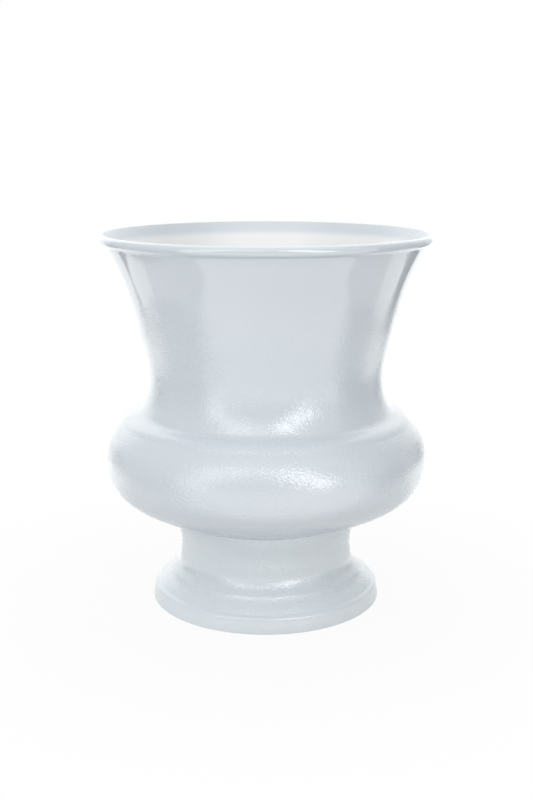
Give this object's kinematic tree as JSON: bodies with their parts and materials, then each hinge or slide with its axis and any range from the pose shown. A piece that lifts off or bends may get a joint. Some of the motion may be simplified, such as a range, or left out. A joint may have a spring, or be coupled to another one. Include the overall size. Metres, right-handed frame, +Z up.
{
  "type": "plastic urn",
  "caption": "Pedestal flower urn: a thin bowl with a rolled lip, flared funnel, banded shoulder and fat bulb, snapped into a hollow round foot.",
  "frame": {"origin": "on the axis of the urn, on the ground that it stands on", "axes": "+Z up along the axis of the urn; the urn is round, so +X and +Y are any two level directions"},
  "size_m": [0.2088, 0.2088, 0.236],
  "materials": {
    "bowl": "smooth glossy moulding with a fine pebble on its outside",
    "foot": "smooth glossy moulding with a fine pebble on its outside"
  },
  "bodies": {
    "root": {"bowl": "bowl", "foot": "foot"}
  },
  "joints": []
}
